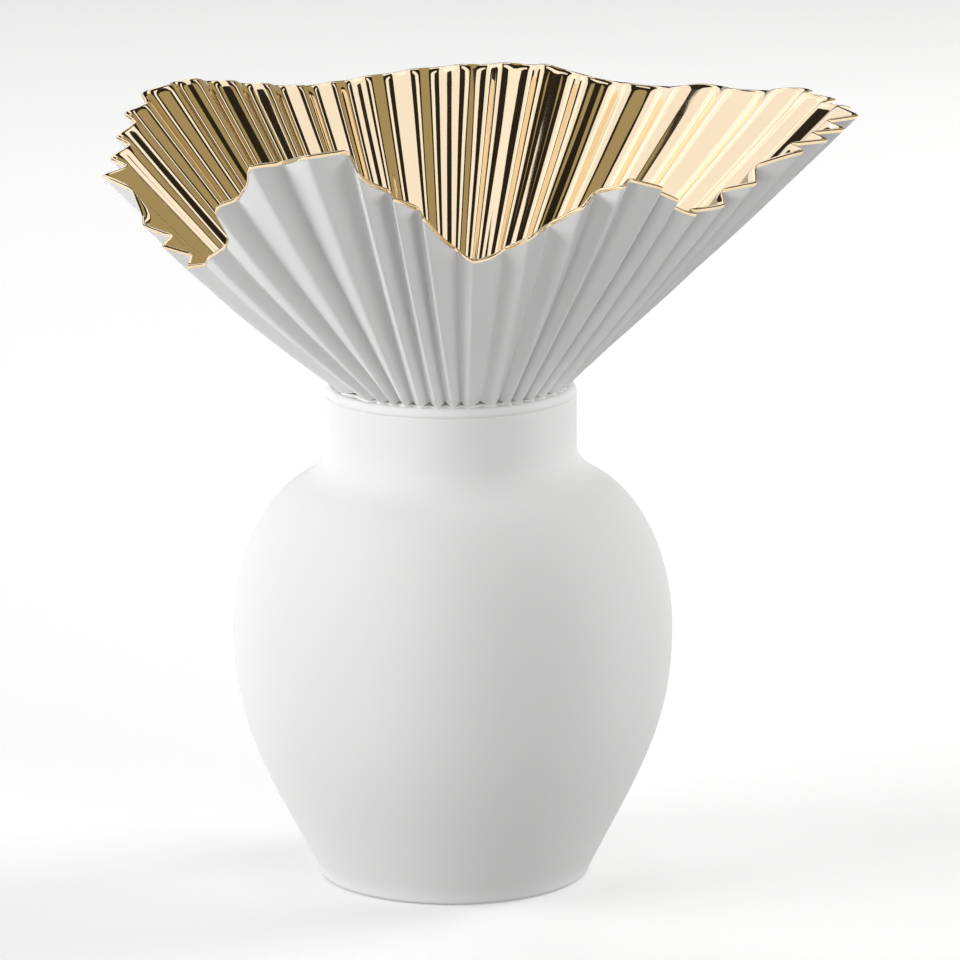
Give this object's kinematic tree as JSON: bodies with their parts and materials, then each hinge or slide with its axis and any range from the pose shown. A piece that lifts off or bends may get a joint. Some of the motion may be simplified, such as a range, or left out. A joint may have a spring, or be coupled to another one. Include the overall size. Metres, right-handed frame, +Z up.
{
  "type": "pleated-collar porcelain vase",
  "caption": "Matte porcelain vase with a round body, a short neck and a wide pleated collar gilded inside, standing on a recessed foot ring.",
  "frame": {"origin": "centre of the foot ring's standing face, on the surface the vase stands on", "axes": "+Z up along the body's axis of revolution, -Y towards the side that shows the collar's tall tongue at its left"},
  "size_m": [0.2864, 0.3056, 0.3106],
  "materials": {
    "bisque_body": "matte unglazed bisque porcelain",
    "bisque_ring": "matte unglazed bisque porcelain",
    "bisque_collar": "matte unglazed bisque porcelain",
    "slip": "matte fired slip",
    "clear_glaze": "clear gloss glaze",
    "polished_gold": "mirror-polished fired gold"
  },
  "bodies": {
    "root": {"vase_body": "bisque_body", "inner_glaze": "clear_glaze", "ring_slip_joint": "slip", "neck_ring": "bisque_ring", "collar_slip_joint": "slip", "pleated_collar": "bisque_collar", "gold_lining": "polished_gold"}
  },
  "joints": []
}
